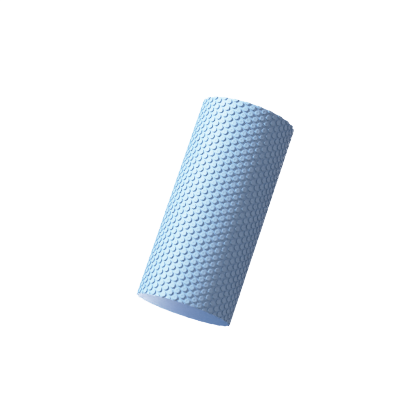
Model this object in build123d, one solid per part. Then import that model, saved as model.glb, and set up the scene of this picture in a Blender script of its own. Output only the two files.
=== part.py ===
from build123d import *
import math
import os

# A solid foam roller, standing on one end: origin at the centre of the bottom face, +Z along its axis.
# A studded foam sheet is wrapped once round a solid foam core and glued, with a butt seam on the +Y side.

# overall sizes, mm
LENGTH = 300.0
DIAMETER = 140.0  # over the tops of the studs

# the wrapped sheet and its glue
SHEET_T = 4.5  # under the studs
GLUE_T = 0.2  # film between the core and the sheet
SEAM_W = 0.5  # gap where the sheet's two edges meet
SEAM_SUNK = 0.4  # how far the glue in the seam stays below the sheet's face

# the studs
COLUMN_PITCH = 8.7  # column to column round the sheet's face, nearly; each column is parallel to the axis
ROW_PITCH = 10.0  # stud to stud along a column
FIRST_ROW = 0.5  # centre of the first stud below the top end, in the odd columns
STUD_D = 7.6  # at the root
STUD_TOP_D = 7.2  # at the top edge
STUD_H = 1.8
DISH_D = 3.6  # shallow hollow in the middle of each stud
DISH_DEEP = 0.25
ROOT_SUNK = 0.6  # part of the stud inside the sheet, lost when they fuse

# derived sizes
DISH_R = (DISH_D**2 / 4 + DISH_DEEP**2) / (2 * DISH_DEEP)  # radius of the ball that leaves the dish
TOP_R = math.sqrt((DIAMETER / 2) ** 2 - (STUD_TOP_D / 2) ** 2)
FACE_R = TOP_R - STUD_H  # distance from the axis to the flat each column stands on
SHEET_IN_R = FACE_R - SHEET_T
CORE_R = SHEET_IN_R - GLUE_T
COLUMNS = 2 * round((2 * math.pi * FACE_R / COLUMN_PITCH - 1) / 2) + 1  # odd, so the seam falls between two
STEP = 360.0 / COLUMNS


def core():
    """The solid bar in the middle."""
    return Cylinder(CORE_R, LENGTH, align=(Align.CENTER, Align.CENTER, Align.MIN))


def skin_glue():
    """The thin film of contact glue between the bar and the sheet."""
    outer = Cylinder(SHEET_IN_R, LENGTH, align=(Align.CENTER, Align.CENTER, Align.MIN))
    return outer - core()


def seam_slot(inner, outer):
    """A block as wide as the seam, along its whole length, between two distances from the axis."""
    block = Box(SEAM_W, outer - inner, LENGTH, align=(Align.CENTER, Align.MIN, Align.MIN))
    return Pos(0, inner, 0) * block


def seam_glue():
    """The glue that fills the butt seam, a little below the sheet's face."""
    inside = Cylinder(SHEET_IN_R, LENGTH, align=(Align.CENTER, Align.CENTER, Align.MIN))
    return seam_slot(SHEET_IN_R - 1, FACE_R - SEAM_SUNK) - inside


def stud():
    """One stud on the +X side: a low cone with a shallow round dish in its top, and a foot inside the sheet."""
    cone = Cone(STUD_D / 2, STUD_TOP_D / 2, STUD_H, align=(Align.CENTER, Align.CENTER, Align.MIN))
    foot = Cylinder(STUD_D / 2, ROOT_SUNK, align=(Align.CENTER, Align.CENTER, Align.MAX))
    dish = Pos(0, 0, STUD_H - DISH_DEEP + DISH_R) * Sphere(DISH_R)
    upright = (cone + foot - dish).solid()
    return Plane((FACE_R, 0, 0), z_dir=(1, 0, 0)).location * upright


def column(first):
    """The studs of one column on the +X side, the end ones cut off flush with the roller's ends."""
    room = Pos(FACE_R, 0, LENGTH / 2) * Box(20, 20, LENGTH)
    studs = []
    z = LENGTH - first
    while z > -STUD_D / 2:
        one = Pos(0, 0, z) * stud()
        if z < STUD_D / 2 or z > LENGTH - STUD_D / 2:
            one = (one & room).solid()
        studs.append(one)
        z -= ROW_PITCH
    return studs


def trim_at_seam(studs, side):
    """Studs of a column beside the seam, cut off flush with the sheet's edge. Side is 1 at +X and -1 at -X."""
    past_edge = Pos(side * (SEAM_W / 2 - STUD_D), FACE_R, LENGTH / 2) * Box(2 * STUD_D, 20, 2 * LENGTH)
    return [(one - past_edge).solid() for one in studs]


def plain_sheet():
    """The sheet without its studs: one flat per column outside, round inside, open at the seam."""
    corner = FACE_R / math.cos(math.radians(STEP / 2))
    outline = RegularPolygon(corner, COLUMNS, rotation=STEP / 2 - 90)
    tube = extrude(outline, LENGTH) - Cylinder(SHEET_IN_R, 3 * LENGTH)
    return tube - seam_slot(SHEET_IN_R - 1, corner + 1)


def skin():
    """The wrapped sheet with its studs, every other column half a pitch lower."""
    near = column(FIRST_ROW + ROW_PITCH / 2)
    far = column(FIRST_ROW)
    studs = []
    last = COLUMNS // 2
    for k in range(-last, last + 1):
        turn = Rot(0, 0, k * STEP - 90)
        placed = [turn * one for one in (far if k % 2 else near)]
        if abs(k) == last:
            placed = trim_at_seam(placed, 1 if k > 0 else -1)
        studs += placed
    return plain_sheet().solid().fuse(*studs)


SUBPARTS = {
    "core": core,
    "skin": skin,
    "skin_glue": skin_glue,
    "seam_glue": seam_glue,
}

os.makedirs("parts", exist_ok=True)
for name, make in SUBPARTS.items():
    shape = make()
    box = shape.bounding_box()
    print(
        f"{name:10} solids {len(shape.solids())}  faces {len(shape.faces())}  volume {shape.volume / 1e3:.1f} cm3  "
        f"size {box.size.X:.2f} x {box.size.Y:.2f} x {box.size.Z:.2f}"
    )
    export_step(shape, f"parts/{name}.step")
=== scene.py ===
# %% [markdown]
# # A studded foam roller, modelled as it is made
#
# The real roller is two pieces of closed-cell EVA foam: a solid round bar, and a thin sheet moulded
# with rows of low round studs, wrapped once round the bar and glued. A single cylinder with a bump
# pattern would be quick, but its outline would stay smooth and its studs would cast no shadows.
# So here the sheet is moulded flat, trimmed, and wrapped, as in the factory.

# %% Load the fixed frame
import math
import random

import bmesh
import bpy
from mathutils import Matrix, Vector, noise


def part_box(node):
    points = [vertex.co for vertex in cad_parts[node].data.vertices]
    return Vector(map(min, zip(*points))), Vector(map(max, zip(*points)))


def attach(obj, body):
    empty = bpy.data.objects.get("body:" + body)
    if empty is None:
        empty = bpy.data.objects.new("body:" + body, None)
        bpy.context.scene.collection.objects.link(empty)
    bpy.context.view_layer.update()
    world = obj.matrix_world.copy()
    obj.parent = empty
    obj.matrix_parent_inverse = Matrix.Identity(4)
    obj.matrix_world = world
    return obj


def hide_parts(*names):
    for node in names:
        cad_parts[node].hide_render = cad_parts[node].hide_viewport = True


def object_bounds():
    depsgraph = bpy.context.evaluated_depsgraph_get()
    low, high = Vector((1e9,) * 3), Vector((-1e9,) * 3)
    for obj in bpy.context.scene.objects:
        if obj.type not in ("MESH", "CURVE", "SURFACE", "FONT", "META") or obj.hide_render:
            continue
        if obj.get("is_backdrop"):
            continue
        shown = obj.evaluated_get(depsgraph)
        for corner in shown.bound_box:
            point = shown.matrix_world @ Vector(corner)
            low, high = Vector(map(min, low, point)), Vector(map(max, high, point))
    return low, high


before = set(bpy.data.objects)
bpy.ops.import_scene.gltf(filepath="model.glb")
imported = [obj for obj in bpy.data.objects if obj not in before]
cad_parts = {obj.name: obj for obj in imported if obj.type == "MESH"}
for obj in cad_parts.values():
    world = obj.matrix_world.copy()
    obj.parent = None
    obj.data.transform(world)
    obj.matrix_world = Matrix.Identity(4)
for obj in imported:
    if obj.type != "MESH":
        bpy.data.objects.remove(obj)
cad_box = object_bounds()
core_low, core_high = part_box("core")
skin_low, skin_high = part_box("skin")
print("whole object, lowest and highest corner:", [tuple(round(v, 4) for v in corner) for corner in cad_box])

# %% [markdown]
# ## Sizes
#
# Blender works in metres and the maker in millimetres, so lengths below are in millimetres and are
# turned to metres once, when a mesh is finished. The big sizes are read from the frame, so the looks
# follow the solid model. The stud pattern is the maker's own: columns along the roller, each column
# half a pitch lower than the one beside it, which packs round studs like a honeycomb.

# %% Sizes in millimetres
MM = 0.001

length = (core_high[2] - core_low[2]) / MM
core_r = (core_high[0] - core_low[0]) / 2 / MM
outer_r = (skin_high[0] - skin_low[0]) / 2 / MM
glue_t = 0.2
sheet_back_r = core_r + glue_t

pitch = 10.0
column_gap_wanted = 8.7
first_row = 0.5
stud_h = 1.8
seam_gap = 0.5

face_r = outer_r - stud_h
sheet_t = face_r - sheet_back_r
girth = 2 * math.pi * face_r
columns = 2 * round((girth / column_gap_wanted - 1) / 2) + 1
column_gap = girth / columns
print(f"length {length:.1f}, core radius {core_r:.2f}")
print(f"sheet {sheet_t:.2f} thick, columns {column_gap:.2f} apart")

# %% [markdown]
# ## One stud
#
# A stud is a low round boss with sloping sides, a softly rounded rim and a shallow dish in its top,
# left by the mould. It is described by rings: how far each ring is from the middle, and how high it
# is. Twelve points a ring look round at this size, and about a hundred and thirty triangles a stud
# keeps fifteen hundred of them light. The third number is where the ring lies in the texture map,
# which gives the steep side more room than it has when seen from above.

# %% The stud as rings of radius, height and map radius
POINTS = 12
RINGS = [
    (3.90, 0.00, 4.15),
    (3.68, stud_h - 0.25, 3.50),
    (3.40, stud_h, 3.20),
    (1.85, stud_h, 1.85),
    (1.05, stud_h - 0.19, 1.10),
]
DISH_FLOOR = stud_h - 0.25
DISH_R = 1.5
ROUND = [(math.cos(2 * math.pi * i / POINTS), math.sin(2 * math.pi * i / POINTS)) for i in range(POINTS)]
print("stud side slopes", round(math.degrees(math.atan2(RINGS[1][1], RINGS[0][0] - RINGS[1][0]))), "degrees")

# %% [markdown]
# ## The moulded sheet, still flat
#
# Each stud sits in its own brick-shaped tile of sheet. A brick has six points on its edge, four
# corners and two half-way up its sides, because the bricks beside it are half a pitch lower and their
# corners fall there. Neighbours share those points, so the whole sheet is one skin with no gaps.
# The other way, fifteen hundred separate studs laid on a plane, would leave a seam round each foot.
# Every stud differs a little in height, width and place, as foam does when it leaves the mould.

# %% Mould the flat sheet
WIDTH_SPREAD = 0.008
HEIGHT_SPREAD = 0.02
PLACE_SPREAD = 0.05
HOLLOW_RANGE = (0.7, 1.2)
random.seed(20)


def mould_sheet():
    bm = bmesh.new()
    uv = bm.loops.layers.uv.new("OFBake")
    rise = bm.verts.layers.float.new("rise")
    spots = {}
    edge_points = {}

    def point(s, z, h, us, uz):
        v = bm.verts.new((s, z, h))
        v[rise] = h / stud_h
        spots[v] = (us, uz)
        return v

    def shared(k2, z):
        key = (k2, round(2 * z))
        if key not in edge_points:
            s = k2 * column_gap / 2
            edge_points[key] = point(s, z, 0.0, s, z)
        return edge_points[key]

    def face(*verts):
        f = bm.faces.new(verts)
        for loop in f.loops:
            loop[uv].uv = spots[loop.vert]

    def tile(k, z):
        s = k * column_gap
        low, high = z - pitch / 2, z + pitch / 2
        left, right = 2 * k - 1, 2 * k + 1
        edge = [shared(right, z), shared(right, high), shared(left, high), shared(left, z), shared(left, low)]
        edge.append(shared(right, low))
        wide = random.gauss(1, WIDTH_SPREAD)
        tall = random.gauss(1, HEIGHT_SPREAD)
        off_s, off_z = random.gauss(0, PLACE_SPREAD), random.gauss(0, PLACE_SPREAD)
        hollow = random.uniform(*HOLLOW_RANGE)
        rings = []
        for r, h, map_r in RINGS:
            if r < DISH_R:
                h = stud_h - (stud_h - h) * hollow
            ring = []
            for c, n in ROUND:
                us, uz = s + map_r * c, z + map_r * n
                ring.append(point(s + off_s + r * wide * c, z + off_z + r * wide * n, h * tall, us, uz))
            rings.append(ring)
        middle = point(s + off_s, z + off_z, (stud_h - (stud_h - DISH_FLOOR) * hollow) * tall, s, z)
        for outer, inner in zip(rings, rings[1:]):
            for i in range(POINTS):
                j = (i + 1) % POINTS
                face(outer[i], outer[j], inner[j], inner[i])
        for i in range(POINTS):
            face(rings[-1][i], rings[-1][(i + 1) % POINTS], middle)
        foot = rings[0]
        for n in range(6):
            a, b = edge[n], edge[(n + 1) % 6]
            # each point on the brick's edge faces three points of the foot ring, and shares the outer
            # two with its neighbours; any other three would turn some of these faces over
            first, second, third = foot[2 * n - 1], foot[2 * n], foot[2 * n + 1]
            face(a, second, first)
            face(a, third, second)
            face(a, b, third)

    for k in range(-(columns // 2), columns - columns // 2):
        z = length + pitch - first_row - (0 if k % 2 else pitch / 2)
        while z > -pitch / 2:
            tile(k, z)
            z -= pitch
    return bm


sheet = mould_sheet()
print(len(sheet.verts), "points and", len(sheet.faces), "faces in the flat sheet")

# %% [markdown]
# ## Trimming the sheet
#
# The moulded sheet is bigger than the roller, and a knife cuts it to size, straight through any stud
# in the way. Bisecting the mesh with a plane does the same: it splits every face the plane crosses
# and throws away what is outside. Then the cut edges are given the sheet's thickness: a wall of
# small faces along each end, one long face on each side of the seam, and strips across the back.

# %% Trim the flat sheet and give it its thickness
half = girth / 2 - seam_gap / 2


def cut(bm, at, outwards):
    everything = bm.verts[:] + bm.edges[:] + bm.faces[:]
    bmesh.ops.bisect_plane(bm, geom=everything, plane_co=at, plane_no=outwards, clear_outer=True, dist=1e-4)


cut(sheet, (0, length, 0), (0, 1, 0))
cut(sheet, (0, 0, 0), (0, -1, 0))
cut(sheet, (half, 0, 0), (1, 0, 0))
cut(sheet, (-half, 0, 0), (-1, 0, 0))


ON_THE_CUT = 1e-3


def rim(bm, axis, value):
    on = {v for e in bm.edges if e.is_boundary for v in e.verts if abs(v.co[axis] - value) < ON_THE_CUT}
    return sorted(on, key=lambda v: v.co[1 - axis])


# map rows for the parts of the sheet that aren't its face, in millimetres above the face's own area
MAP_ROWS = {"top": 308.0, "bottom": 318.0, "back": 328.0, "left": 400.0, "right": 410.0}
# the back is glued to the bar and never seen, so its length is squeezed on the map
BACK_SQUEEZE = 5


def thicken(bm):
    uv = bm.loops.layers.uv["OFBake"]
    ends = {"top": rim(bm, 1, length), "bottom": rim(bm, 1, 0.0)}
    sides = {"left": rim(bm, 0, -half), "right": rim(bm, 0, half)}

    def face(verts, place):
        f = bm.faces.new(verts)
        for loop in f.loops:
            loop[uv].uv = place(loop.vert.co)

    backs = {}
    for name, chain in ends.items():
        under = [bm.verts.new((v.co.x, v.co.y, -sheet_t)) for v in chain]
        backs[name] = under
        row = MAP_ROWS[name]
        for a, b, c, d in zip(chain, chain[1:], under[1:], under):
            face((a, d, c, b) if name == "bottom" else (a, b, c, d), lambda p: (p.x, row + p.z + sheet_t))
    for name, chain in sides.items():
        pick = 0 if name == "left" else -1
        loop = chain + [backs["top"][pick], backs["bottom"][pick]]
        row = MAP_ROWS[name]
        face(loop if name == "right" else loop[::-1], lambda p: (p.y - length / 2, row + p.z + sheet_t))
    top, bottom = backs["top"], backs["bottom"]
    i = j = 0
    row = MAP_ROWS["back"]
    while i < len(top) - 1 or j < len(bottom) - 1:
        on_top = j == len(bottom) - 1 or (i < len(top) - 1 and top[i + 1].co.x < bottom[j + 1].co.x)
        if on_top:
            face((top[i], top[i + 1], bottom[j]), lambda p: (p.x, row + p.y / BACK_SQUEEZE))
            i += 1
        else:
            face((top[i], bottom[j + 1], bottom[j]), lambda p: (p.x, row + p.y / BACK_SQUEEZE))
            j += 1


thicken(sheet)
bmesh.ops.recalc_face_normals(sheet, faces=sheet.faces[:])
print(sum(e.is_boundary for e in sheet.edges), "open edges left,", len(sheet.faces), "faces")

# %% [markdown]
# ## Wrapping the sheet round the bar
#
# Bending a flat sheet into a tube keeps lengths along the tube and turns lengths across it into
# angles: the angle is the distance along the sheet divided by the radius. A Simple Deform modifier
# can do this too, but one line of arithmetic a point is exact, and puts the seam where it is wanted,
# at the back. A slow noise moves the face in and out by a tenth of a millimetre, as the glue does.
# Weighted normals keep the big flat faces flat while the small rim and foot faces shade as rounds.


# %% Wrap it, and make the mesh object
WAVE_HEIGHT = 0.12
WAVE_SINK = 0.08
WAVE_LENGTH = 60.0
MAP_LIFT = 4
MAP_ROOM = 1.01
MAP_MARGIN = 0.004


def wrap(bm):
    for v in bm.verts:
        s, z, h = v.co
        turn = s / face_r
        slow = noise.noise(Vector((2.0 * math.sin(turn), 2.0 * math.cos(turn), z / WAVE_LENGTH)))
        r = face_r + h + (WAVE_HEIGHT * slow - WAVE_SINK if h > -0.5 * sheet_t else 0.0)
        v.co = Vector((r * math.sin(turn), -r * math.cos(turn), z)) * MM


def finish_mesh(bm, name, sharp=50):
    bmesh.ops.recalc_face_normals(bm, faces=bm.faces[:])
    for e in bm.edges:
        e.smooth = e.calc_face_angle(0.0) < math.radians(sharp)
    for f in bm.faces:
        f.smooth = True
    mesh = bpy.data.meshes.new(name)
    bm.to_mesh(mesh)
    bm.free()
    obj = bpy.data.objects.new(name, mesh)
    bpy.context.collection.objects.link(obj)
    return obj


def fit_map(obj, width, height):
    uv = obj.data.uv_layers["OFBake"].data
    size = max(width, height) * MAP_ROOM
    for loop in uv:
        across = (loop.uv[0] + width / 2) / size
        along = (loop.uv[1] + MAP_LIFT) / size
        loop.uv = (across + MAP_MARGIN, along + MAP_MARGIN)


wrap(sheet)
skin = finish_mesh(sheet, "eva_studded_sheet", sharp=62)
fit_map(skin, girth, 440)
weighted = skin.modifiers.new("flat faces stay flat", "WEIGHTED_NORMAL")
weighted.keep_sharp = True
weighted.weight = 60
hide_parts("skin")
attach(skin, "root")
print(skin.name, len(skin.data.polygons), "faces, size", [round(d, 4) for d in skin.dimensions])

# %% [markdown]
# ## The bar
#
# The bar is cut from a long round of foam, so its ends are sawn faces. Only the ends show. They are
# nearly flat: the blade drifts by a tenth of a millimetre or so, and the edge is very slightly soft.
# Each end is a set of rings round a centre point, so that the drift is real shape and not only shading.

# %% Make the bar
STEPS = 144
END_RINGS = [8, 16, 24, 32, 40, 48, 55, 60, 62.5, 63.5]
END_DRIFT = 0.12
STILL_EDGE = 6
ROUNDING = 0.15
# on the map the two ends lie side by side, with the bar's unrolled side above them
END_ROW = 66
SIDE_ROW = 150
SIDE_WIDTH = 260
SIDE_SQUEEZE = 3


def bar(radius, name):
    bm = bmesh.new()
    uv = bm.loops.layers.uv.new("OFBake")

    def ring(r, z, end):
        out = []
        for i in range(STEPS):
            x = r * math.sin(2 * math.pi * i / STEPS)
            y = -r * math.cos(2 * math.pi * i / STEPS)
            drift = 0.0
            if end:
                slow = noise.noise(Vector((x / 30, y / 30, z)))
                drift = END_DRIFT * slow * min(1.0, (radius - r) / STILL_EDGE)
            out.append(bm.verts.new((x, y, z + drift)))
        return out

    def band(a, b, place):
        for i in range(STEPS):
            j = (i + 1) % STEPS
            f = bm.faces.new((a[i], a[j], b[j], b[i]))
            for n, loop in enumerate(f.loops):
                loop[uv].uv = place(loop.vert.co, i + (n in (1, 2)))

    def round_way(i):
        return i / STEPS * SIDE_WIDTH - SIDE_WIDTH / 2

    corner = (radius - ROUNDING / 2) ** 2
    for z, inwards, centre, row in ((0.0, 1, -68.0, 140), (length, -1, 68.0, 144)):
        rings = [ring(r, z, True) for r in END_RINGS] + [ring(radius - ROUNDING, z, True)]
        for a, b in zip(rings, rings[1:]):
            band(a, b, lambda p, i, c=centre: (p.x + c, p.y + END_ROW))
        middle = bm.verts.new((0, 0, z + END_DRIFT * noise.noise(Vector((0, 0, z)))))
        for i in range(STEPS):
            f = bm.faces.new((rings[0][i], rings[0][(i + 1) % STEPS], middle))
            for loop in f.loops:
                loop[uv].uv = (loop.vert.co.x + centre, loop.vert.co.y + END_ROW)
        edge = ring(radius, z + inwards * ROUNDING, False)
        band(rings[-1], edge, lambda p, i, row=row: (round_way(i), row + (p.x * p.x + p.y * p.y > corner)))
        if inwards > 0:
            foot = edge
        else:
            band(foot, edge, lambda p, i: (round_way(i), SIDE_ROW + p.z / SIDE_SQUEEZE))
    for v in bm.verts:
        v.co *= MM
    return finish_mesh(bm, name, sharp=60)


core = bar(core_r, "eva_bar")
fit_map(core, 268, 260)
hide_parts("core")
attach(core, "root")
print(core.name, len(core.data.polygons), "faces, size", [round(d, 4) for d in core.dimensions])

# %% [markdown]
# ## Colours and nodes
#
# Screen colours are written as hex numbers in sRGB, the curve that screens use, while Blender mixes
# light in linear numbers. One function turns the first into the second. Another adds a node to a
# material with its settings and its links, so each material below reads like a recipe.


# %% Two helpers for materials
def linear(hex_colour, alpha=1.0):
    out = []
    for i in (1, 3, 5):
        c = int(hex_colour[i : i + 2], 16) / 255
        out.append(c / 12.92 if c <= 0.04045 else ((c + 0.055) / 1.055) ** 2.4)
    return (*out, alpha)


def add(tree, kind, inputs=None, **settings):
    node = tree.nodes.new(kind)
    for key, value in settings.items():
        setattr(node, key, value)
    for key, value in (inputs or {}).items():
        if isinstance(value, bpy.types.NodeSocket):
            tree.links.new(value, node.inputs[key])
        else:
            node.inputs[key].default_value = value
    return node


def new_material(name):
    material = bpy.data.materials.new(name)
    material.use_nodes = True
    tree = material.node_tree
    tree.nodes.clear()
    return material, tree


def ramp(band, *stops):
    """Colours along a ramp: each stop is a place from 0 to 1 and a hex colour."""
    for element, (at, colour) in zip(band.elements, (stops[0], stops[-1])):
        element.position, element.color = at, linear(colour)
    for at, colour in stops[1:-1]:
        band.elements.new(at).color = linear(colour)


print("sky blue in linear light:", [round(c, 3) for c in linear("#8FC0E8")[:3]])

# %% [markdown]
# ## Moulded closed-cell EVA foam
#
# The sheet's outside touched a hot mould, so it has a thin closed skin: satin, not glossy, with a
# fine leathery grain about half a millimetre across, drawn at about a millimetre so that it shows.
# EVA has an IOR near 1.49. The colour drifts slowly over several centimetres where the pigment mixed
# unevenly, and the stud tops are rubbed a little paler. The studs' side walls are painted darker than
# either: this is painted shade, standing in for the deep shade at the foot of each stud.

# %% The moulded sheet's material
SKIN_BLUE = "#A2C5E3"
SKIN_DEEP = "#98BEDF"
SKIN_RUBBED = "#AACBE6"
# painted shade: this colour darkens the studs' side walls
PAINTED_WALL_SHADE = "#BCCBD2"


def moulded_eva():
    material, t = new_material("eva_foam_closed_cell_moulded")
    where = add(t, "ShaderNodeTexCoord").outputs["Object"]
    drift = add(t, "ShaderNodeTexNoise", {"Vector": where, "Scale": 22.0, "Detail": 2.0})
    grain = add(t, "ShaderNodeTexNoise", {"Vector": where, "Scale": 900.0, "Detail": 3.0, "Roughness": 0.6})
    body = add(
        t,
        "ShaderNodeMix",
        {0: drift.outputs["Fac"], 6: linear(SKIN_DEEP), 7: linear(SKIN_BLUE)},
        data_type="RGBA",
    )
    rise = add(t, "ShaderNodeAttribute", attribute_name="rise")
    rubbed = add(t, "ShaderNodeMapRange", {"Value": rise.outputs["Fac"], "From Min": 0.85, "To Max": 0.55})
    colour = add(
        t,
        "ShaderNodeMix",
        {0: rubbed.outputs["Result"], 6: body.outputs[2], 7: linear(SKIN_RUBBED)},
        data_type="RGBA",
    )
    # painted shade: a ramp on the stud height darkens the side walls, between the foot and the rim
    painted_shade_ramp = add(t, "ShaderNodeValToRGB", {"Fac": rise.outputs["Fac"]})
    ramp(painted_shade_ramp.color_ramp, (0.0, "#FFFFFF"), (0.12, PAINTED_WALL_SHADE), (0.72, PAINTED_WALL_SHADE), (0.9, "#FFFFFF"))
    painted_shade_mix = add(
        t,
        "ShaderNodeMix",
        {0: 1.0, 6: colour.outputs[2], 7: painted_shade_ramp.outputs["Color"]},
        data_type="RGBA",
        blend_type="MULTIPLY",
    )
    grey = {"Value": grain.outputs["Fac"], "From Min": 0.3, "From Max": 0.7, "To Min": 0.94, "To Max": 1.05}
    speck = add(t, "ShaderNodeMapRange", grey)
    flecked = add(
        t,
        "ShaderNodeMix",
        {0: 1.0, 6: painted_shade_mix.outputs[2], 7: speck.outputs["Result"]},
        data_type="RGBA",
        blend_type="MULTIPLY",
    )
    rough = add(t, "ShaderNodeMapRange", {"Value": grain.outputs["Fac"], "To Min": 0.50, "To Max": 0.66})
    bump = add(t, "ShaderNodeBump", {"Height": grain.outputs["Fac"], "Strength": 0.35, "Distance": 0.0002})
    shader = add(
        t,
        "ShaderNodeBsdfPrincipled",
        {
            "Base Color": flecked.outputs[2],
            "Roughness": rough.outputs["Result"],
            "Normal": bump.outputs["Normal"],
            "IOR": 1.49,
        },
    )
    add(t, "ShaderNodeOutputMaterial", {"Surface": shader.outputs["BSDF"]})
    return material


skin.data.materials.append(moulded_eva())
print("material:", skin.data.materials[0].name)

# %% [markdown]
# ## Sawn closed-cell EVA foam
#
# A sawn face has no skin. The blade opens the foam's cells, each about 0.3 mm across, into tiny
# pits, so it is dull when seen squarely, with a soft sheen at a glancing angle. The pits are drawn
# about a millimetre apart so that they show, with very faint straight lines left by the blade.

# %% The sawn ends' material
SAWN_BLUE = "#5A97DA"
SAWN_PALE = "#64A0E0"


def sawn_eva():
    material, t = new_material("eva_foam_closed_cell_sawn")
    where = add(t, "ShaderNodeTexCoord").outputs["Object"]
    drift = add(t, "ShaderNodeTexNoise", {"Vector": where, "Scale": 30.0, "Detail": 3.0})
    cells = add(t, "ShaderNodeTexVoronoi", {"Vector": where, "Scale": 900.0})
    stretched = {"Vector": where, "Scale": (30.0, 700.0, 30.0), "Rotation": (0, 0, 0.6)}
    long_way = add(t, "ShaderNodeMapping", stretched)
    saw = add(t, "ShaderNodeTexNoise", {"Vector": long_way.outputs["Vector"], "Scale": 1.0, "Detail": 1.0})
    body = add(
        t,
        "ShaderNodeMix",
        {0: drift.outputs["Fac"], 6: linear(SAWN_BLUE), 7: linear(SAWN_PALE)},
        data_type="RGBA",
    )
    depth = {"Value": cells.outputs["Distance"], "From Max": 0.5, "To Min": 0.90, "To Max": 1.04}
    pits = add(t, "ShaderNodeMapRange", depth)
    pitted = add(
        t,
        "ShaderNodeMix",
        {0: 1.0, 6: body.outputs[2], 7: pits.outputs["Result"]},
        data_type="RGBA",
        blend_type="MULTIPLY",
    )
    lines = add(t, "ShaderNodeMath", {0: saw.outputs["Fac"], 1: 0.35}, operation="MULTIPLY")
    pits_and_lines = {0: cells.outputs["Distance"], 1: lines.outputs["Value"]}
    height = add(t, "ShaderNodeMath", pits_and_lines, operation="ADD")
    bump = add(t, "ShaderNodeBump", {"Height": height.outputs["Value"], "Strength": 0.4, "Distance": 0.0002})
    shader = add(
        t,
        "ShaderNodeBsdfPrincipled",
        {
            "Base Color": pitted.outputs[2],
            "Roughness": 0.55,
            "Specular IOR Level": 0.2,
            "Normal": bump.outputs["Normal"],
            "IOR": 1.49,
        },
    )
    add(t, "ShaderNodeOutputMaterial", {"Surface": shader.outputs["BSDF"]})
    return material


FLAT_WITHIN = 0.02
sawn = sawn_eva()
core.data.materials.append(sawn)
skin.data.materials.append(sawn)
for f in skin.data.polygons:
    zs = [skin.data.vertices[i].co.z / MM for i in f.vertices]
    flat_end = max(zs) < FLAT_WITHIN or min(zs) > length - FLAT_WITHIN
    f.material_index = 1 if flat_end else 0
print(sum(f.material_index for f in skin.data.polygons), "faces of the sheet are sawn")

# %% [markdown]
# ## Dried contact adhesive
#
# A thin film holds the sheet to the bar and fills the seam. Dried, it is rubbery, with a soft gloss
# and an IOR near 1.5, and so thin that it takes the blue of the foam behind it. The solid model's own
# pieces are the right shape for it, so they stay and only get this material.

# %% The glue's material
GLUE_BLUISH = "#7E9CC0"
GLUE_PALE = "#A3B8CC"


def dried_adhesive():
    material, t = new_material("contact_adhesive_dried")
    where = add(t, "ShaderNodeTexCoord").outputs["Object"]
    lumps = add(t, "ShaderNodeTexNoise", {"Vector": where, "Scale": 400.0, "Detail": 3.0})
    tint = add(
        t,
        "ShaderNodeMix",
        {0: lumps.outputs["Fac"], 6: linear(GLUE_BLUISH), 7: linear(GLUE_PALE)},
        data_type="RGBA",
    )
    bump = add(t, "ShaderNodeBump", {"Height": lumps.outputs["Fac"], "Strength": 0.5, "Distance": 0.0003})
    shader = add(
        t,
        "ShaderNodeBsdfPrincipled",
        {"Base Color": tint.outputs[2], "Roughness": 0.4, "Normal": bump.outputs["Normal"], "IOR": 1.5},
    )
    add(t, "ShaderNodeOutputMaterial", {"Surface": shader.outputs["BSDF"]})
    return material


glue = dried_adhesive()
for node in ("skin_glue", "seam_glue"):
    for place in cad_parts[node].material_slots:
        place.material = glue
print("material:", glue.name)

# %% [markdown]
# ## The studio
#
# The roller floats well above a pale floor, seen from a little below its middle, so that its lower
# end shows. The lens is long, about 120 mm, so the two sides stay almost parallel.

# %% Camera
LENS = 121.2
TILT = math.radians(11.47)
ROLL = math.radians(18.79)
AROUND = math.radians(-1.03)
DISTANCE = 2.013
RIGHT_OF_CENTRE = 0.0119
BELOW_CENTRE = 0.0053

middle = Vector((0, 0, length / 2 * MM))
back = Vector((math.sin(AROUND) * math.cos(TILT), -math.cos(AROUND) * math.cos(TILT), -math.sin(TILT)))
level = Vector((math.cos(AROUND), math.sin(AROUND), 0))
upright = back.cross(level)
right = math.cos(ROLL) * level + math.sin(ROLL) * upright
up = -math.sin(ROLL) * level + math.cos(ROLL) * upright
eye = middle + DISTANCE * back - RIGHT_OF_CENTRE * right + BELOW_CENTRE * up

camera = bpy.data.objects.new("camera", bpy.data.cameras.new("camera"))
camera.data.sensor_width = 36.0
camera.data.lens = LENS
camera.data.clip_start = 0.05
camera.matrix_world = Matrix((right, up, back)).transposed().to_4x4()
camera.matrix_world.translation = eye
bpy.context.collection.objects.link(camera)
bpy.context.scene.camera = camera
print(f"lens {camera.data.lens:.0f} mm, camera at {[round(c, 3) for c in eye]}")

# %% [markdown]
# ## Floor, light and surroundings
#
# A lamp high on the left gives the pale left side and the crescent shadows beside the studs. A weak
# wide one in front softens the turn into shade, one behind lights the back, and a small one below
# and behind skims the lower end, which answers with a dull sheen. The rest is pale surroundings.
# A white floor would throw too much light up under the roller, so this one is grey to the light and
# is given back its paleness only where the camera sees it directly.


# %% Floor, lamps and world
FLOOR_HEIGHT = -0.32
FLOOR_GLOW = 0.85
# how bright a point comes out, against the light it gives as a share of the white level
WHITE_LEVEL = 2.0
TONE = ((0.15, 0.30), (0.35, 0.69), (0.48, 0.85), (0.625, 0.93), (0.85, 0.985))


def lamp(name, around, above, distance, size, power, colour="#FFFFFF"):
    """A round soft lamp. Around is degrees from the front, minus to the left, and above is from level."""
    a, e = math.radians(around), math.radians(above)
    place = middle + distance * Vector((math.sin(a) * math.cos(e), -math.cos(a) * math.cos(e), math.sin(e)))
    data = bpy.data.lights.new(name, "AREA")
    data.shape = "DISK"
    data.size = size
    data.energy = power
    data.color = linear(colour)[:3]
    obj = bpy.data.objects.new(name, data)
    obj.location = place
    obj.rotation_euler = (middle - place).to_track_quat("-Z", "Y").to_euler()
    obj.visible_camera = False
    bpy.context.collection.objects.link(obj)
    return obj


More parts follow.
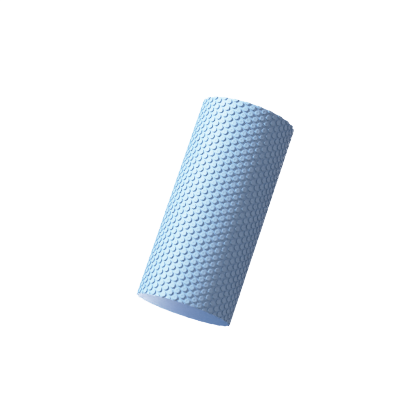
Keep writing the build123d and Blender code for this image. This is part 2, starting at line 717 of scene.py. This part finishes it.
lamp("key lamp", -65, 20, 2.2, 0.3, 73.0)
lamp("back lamp", 162, 25, 2.0, 0.8, 17.0)
lamp("front fill", 12, 12, 2.4, 1.4, 4.5)
low = lamp("low lamp", -163, -27, 0.62, 0.25, 0.45, "#F8F6F4")
low.rotation_euler = (Vector((-0.03, 0, 0)) - low.location).to_track_quat("-Z", "Y").to_euler()
low.data.spread = math.radians(70)

flat = bmesh.new()
bmesh.ops.create_grid(flat, x_segments=8, y_segments=8, size=6.0)
floor = finish_mesh(flat, "floor")
floor.location.z = FLOOR_HEIGHT
floor_material, t = new_material("pale_matt_floor")
shade = add(t, "ShaderNodeBsdfPrincipled", {"Base Color": linear("#8E8E90"), "Roughness": 0.9})
floor_seen = add(t, "ShaderNodeLightPath").outputs["Is Camera Ray"]
glow = add(t, "ShaderNodeMath", {0: floor_seen, 1: FLOOR_GLOW}, operation="MULTIPLY")
lift = add(t, "ShaderNodeEmission", {"Color": linear("#F4F4F6"), "Strength": glow.outputs["Value"]})
lifted = add(t, "ShaderNodeAddShader", {0: shade.outputs["BSDF"], 1: lift.outputs["Emission"]})
add(t, "ShaderNodeOutputMaterial", {"Surface": lifted.outputs["Shader"]})
floor.data.materials.append(floor_material)
floor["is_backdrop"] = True

scene = bpy.context.scene
scene.view_settings.view_transform = "Standard"
scene.view_settings.use_curve_mapping = True
tone = scene.view_settings.curve_mapping
tone.white_level = (WHITE_LEVEL, WHITE_LEVEL, WHITE_LEVEL)
for at, value in TONE:
    tone.curves[3].points.new(at, value)
tone.update()
world = bpy.data.worlds.new("pale surroundings")
world.use_nodes = True
t = world.node_tree
t.nodes.clear()
ambient = add(t, "ShaderNodeBackground", {"Color": linear("#F2E8FA"), "Strength": 0.40})
seen = add(t, "ShaderNodeBackground", {"Color": (1, 1, 1, 1), "Strength": 2.2})
world_seen = add(t, "ShaderNodeLightPath").outputs["Is Camera Ray"]
sky = add(t, "ShaderNodeMixShader", {0: world_seen, 1: ambient.outputs[0], 2: seen.outputs[0]})
add(t, "ShaderNodeOutputWorld", {"Surface": sky.outputs[0]})
scene.world = world

# %% [markdown]
# ## Last checks
#
# Both boxes are printed before the frame closes, to show how far the looks reach past the solid model.

# %% Write the sizes and finish
seen_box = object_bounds()
below = [a - b for a, b in zip(cad_box[0], seen_box[0])]
above = [b - a for a, b in zip(cad_box[1], seen_box[1])]
print("grows below by", [round(v / MM, 2) for v in below], "mm")
print("grows above by", [round(v / MM, 2) for v in above], "mm")
